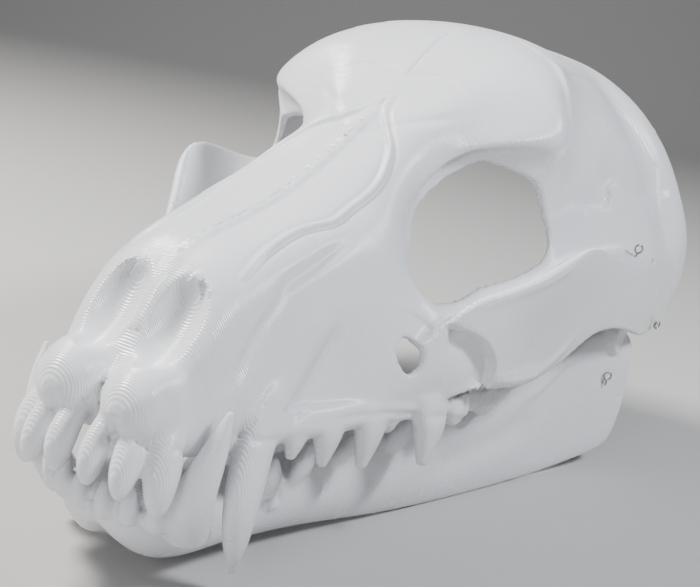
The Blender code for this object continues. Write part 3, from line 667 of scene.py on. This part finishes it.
def build_jaw(bm):
    """One branch of the jaw as a closed loft of its sections, past the mid-plane at the chin."""
    rows = []
    for y, inner, outer, bottom, top, low in JAW_SECTIONS:
        height = top - low
        mid = (inner + outer) / 2 if inner > -8 else 8.0
        outline = ((mid, top), (outer - 1.5, top - 0.5), (outer, top - 0.35 * height),
                   (outer - 0.5, low + 0.3 * height), (bottom + 2, low), (bottom - 3, low),
                   (inner + 0.3 * (bottom - inner), low + 0.3 * height), (inner, top - 0.3 * height),
                   (inner + 1.5, top))
        rows.append([bm.verts.new(place(x, y, z)) for x, z in outline])
    grid_faces(bm, rows, True)
    bm.faces.new(rows[0])
    bm.faces.new(rows[-1])


jaw = make("jaw_print", build_jaw)
subdivide(jaw, 3)
condyle_x = LUG_X + LUG_THICK + GAP
lower = [make("condyle", lambda bm: cylinder_x(bm, HINGE_Y, HINGE_Z, CONDYLE_RADIUS, condyle_x, 90.5))]
for path, across, lengthways in LOWER_TEETH:
    lower.append(make("lower tooth", lambda bm: tube(bm, path, across, lengthways)))
merge(jaw, lower)
relax(jaw, 5 if FINE else 2)
carve(jaw, JAW_STROKES, 0.75, 20.0)
socket = make("socket", lambda bm: cylinder_x(bm, HINGE_Y, HINGE_Z, STUB_RADIUS + GAP, 70, 85 + GAP))
ground = make("ground", lambda bm: block(bm, (-40, -200, -20), (120, 160, FLOOR_Z)))
hole_jaw = make("hole", lambda bm: cylinder_x(bm, 86.4, 47.2, 0.9, 80, 100))
cut(jaw, [socket, ground, hole_jaw])
other_half(jaw, JAW_TRIANGLES)
level = (0.0, math.sin(LAYER_TILT), math.cos(LAYER_TILT))
jaw.data.materials.clear()
jaw.data.materials.append(printed_plastic("white jaw print", level, LAYER_PITCH))
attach(jaw, "mandible")
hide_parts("jaw")

# Bent steel wire on both sides: two eyes above the cheek arches, a twist through each rear flange and
# an eye with a tail on each side of the jaw. They pass through small holes.
WIRE_RADIUS = 0.4
LOOP_RADIUS = 1.9
UPPER_LOOP = (93.5, 67.5, 113.2)
REAR_LOOP = (100.1, 104, 75)
JAW_LOOP = (89.4, 86, 50)


def ring(centre, radius, start, turn, steps, drift, swing):
    """Points of an upright loop round a centre; swing turns its plane from along Y towards X."""
    x, y, z = centre
    points = []
    for k in range(steps + 1):
        angle = math.radians(start + turn * k / steps)
        out = radius * math.cos(angle)
        points.append((x + drift * k / steps + out * math.sin(swing), y + out * math.cos(swing),
                       z + radius * math.sin(angle)))
    return points


def wire(name, points, side):
    """A bent wire through points given for the +X side, as a mesh; side is 1 or -1."""
    curve = bpy.data.curves.new(name, "CURVE")
    curve.dimensions = "3D"
    curve.bevel_depth = WIRE_RADIUS * MM
    curve.bevel_resolution = 4
    curve.resolution_u = 6
    curve.use_fill_caps = True
    spline = curve.splines.new("NURBS")
    spline.points.add(len(points) - 1)
    spline.order_u = 4
    spline.use_endpoint_u = True
    for point, (x, y, z) in zip(spline.points, points):
        spot = place(x, y, z)
        point.co = (spot.x * side, spot.y, spot.z, 1.0)
    drawn = bpy.data.objects.new(name + "_line", curve)
    bpy.context.scene.collection.objects.link(drawn)
    bpy.context.view_layer.update()
    graph = bpy.context.evaluated_depsgraph_get()
    mesh = bpy.data.meshes.new_from_object(drawn.evaluated_get(graph))
    mesh.shade_smooth()
    bpy.data.objects.remove(drawn, do_unlink=True)
    bpy.data.curves.remove(curve)
    obj = bpy.data.objects.new(name, mesh)
    bpy.context.scene.collection.objects.link(obj)
    return obj


def bright_steel(name):
    """Drawn steel wire with a slightly uneven polish."""
    material = bpy.data.materials.new(name)
    material.use_nodes = True
    tree = material.node_tree
    shader = tree.nodes["Principled BSDF"]
    coords = tree.nodes.new("ShaderNodeTexCoord")
    drawn = tree.nodes.new("ShaderNodeTexNoise")
    drawn.inputs["Scale"].default_value = 900.0
    drawn.inputs["Detail"].default_value = 2.0
    tree.links.new(coords.outputs["Object"], drawn.inputs["Vector"])
    wear = tree.nodes.new("ShaderNodeMapRange")
    wear.inputs["To Min"].default_value = 0.2
    wear.inputs["To Max"].default_value = 0.42
    tree.links.new(drawn.outputs["Fac"], wear.inputs["Value"])
    tree.links.new(wear.outputs["Result"], shader.inputs["Roughness"])
    shader.inputs["Base Color"].default_value = (0.38, 0.36, 0.34, 1.0)
    shader.inputs["Metallic"].default_value = 1.0
    return material


steel = bright_steel("bright wire")
for side, label in ((1, "left"), (-1, "right")):
    upper_points = [(93.4, 67.1, 109.9)] + ring(UPPER_LOOP, LOOP_RADIUS, -90, 330, 14, 0.6, 0.9)
    rear_points = ring(REAR_LOOP, LOOP_RADIUS * 0.8, -60, 560, 24, 2.6, 0.3)
    jaw_points = [(89.3, 86.6, 45.4)] + ring(JAW_LOOP, LOOP_RADIUS, -60, 330, 14, 0.6, 0.9)[::-1]
    for part_name, points, body in (("skull_upper_loop_", upper_points, "cranium"),
                                    ("skull_rear_loop_", rear_points, "cranium"),
                                    ("jaw_loop_", jaw_points, "mandible")):
        loop = wire(part_name + label + "_wire", points, side)
        loop.data.materials.append(steel)
        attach(loop, body)
        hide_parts(part_name + label)

# Camera at the photograph's place, looking down a little and turned round its own axis.
CAMERA_PLACE = (211.2, -436.3, 203.3)
AZIMUTH = math.radians(26.21)
DOWN = math.radians(14.73)
ROLL = math.radians(10.56)
LENS = 61.714
SENSOR = 36

right = Vector((math.cos(AZIMUTH), math.sin(AZIMUTH), 0))
level_view = Vector((-math.sin(AZIMUTH), math.cos(AZIMUTH), 0))
forward = level_view * math.cos(DOWN) - Vector((0, 0, math.sin(DOWN)))
upward = right.cross(forward)
turned_right = right * math.cos(ROLL) + upward * math.sin(ROLL)
turned_up = upward * math.cos(ROLL) - right * math.sin(ROLL)
view = Matrix((turned_right, turned_up, -forward)).transposed().to_4x4()
camera_data = bpy.data.cameras.new("camera")
camera_data.sensor_width = SENSOR
camera_data.lens = LENS
camera_data.clip_start = 0.01
camera = bpy.data.objects.new("camera", camera_data)
bpy.context.scene.collection.objects.link(camera)
camera.matrix_world = Matrix.Translation(place(*CAMERA_PLACE)) @ view
bpy.context.scene.camera = camera

# Pale floor that curves up into a plain backdrop behind the mask, in metres.
FLOOR_REACH = 1.6
SWEEP = 0.9
FLOOR_DROP = 0.0002


def build_floor(bm):
    """A flat sheet that curves up behind the mask into a plain backdrop."""
    profile = [(-3.0, 0.0), (FLOOR_REACH, 0.0)]
    for k in range(1, 17):
        turn = math.pi / 2 * k / 16
        profile.append((FLOOR_REACH + SWEEP * math.sin(turn), SWEEP * (1 - math.cos(turn))))
    profile.append((FLOOR_REACH + SWEEP, 4.0))
    rows = []
    for along_view, height in profile:
        middle = level_view * along_view + Vector((0, 0, height - FLOOR_DROP))
        rows.append([bm.verts.new(middle + right * across) for across in (-4.0, 4.0)])
    grid_faces(bm, rows, False)


floor = make("floor", build_floor)
floor_mesh = floor.data
floor_mesh.shade_smooth()
floor_material = bpy.data.materials.new("pale floor")
floor_material.use_nodes = True
floor_shader = floor_material.node_tree.nodes["Principled BSDF"]
floor_shader.inputs["Base Color"].default_value = (0.45, 0.44, 0.43, 1.0)
floor_shader.inputs["Roughness"].default_value = 0.7
floor_mesh.materials.append(floor_material)

# Soft studio light: a warm key from the left above, cooler fill from the right, a weak lamp in front
# and a faint bluish sky all round.


def soft_light(name, spot, energy, size, colour):
    """A square lamp that looks at the middle of the mask; energy in watts and size in metres."""
    data = bpy.data.lights.new(name, "AREA")
    data.energy = energy
    data.size = size
    data.color = colour
    lamp = bpy.data.objects.new(name, data)
    bpy.context.scene.collection.objects.link(lamp)
    lamp.location = spot
    lamp.rotation_euler = (Vector((0, 0, 0.09)) - Vector(spot)).to_track_quat("-Z", "Y").to_euler()


soft_light("key", (-0.75, -0.25, 0.95), 33.0, 0.28, (1.0, 0.98, 0.955))
soft_light("fill", (0.85, 0.15, 1.0), 19.0, 0.25, (0.90, 0.94, 1.0))
soft_light("front", (0.15, -1.2, 0.55), 6.0, 0.5, (0.93, 0.96, 1.0))
world = bpy.data.worlds.new("studio")
world.use_nodes = True
world.node_tree.nodes["Background"].inputs["Color"].default_value = (0.82, 0.86, 0.92, 1.0)
world.node_tree.nodes["Background"].inputs["Strength"].default_value = 0.14
bpy.context.scene.world = world

# Bring the scene up to date.
bpy.context.view_layer.update()
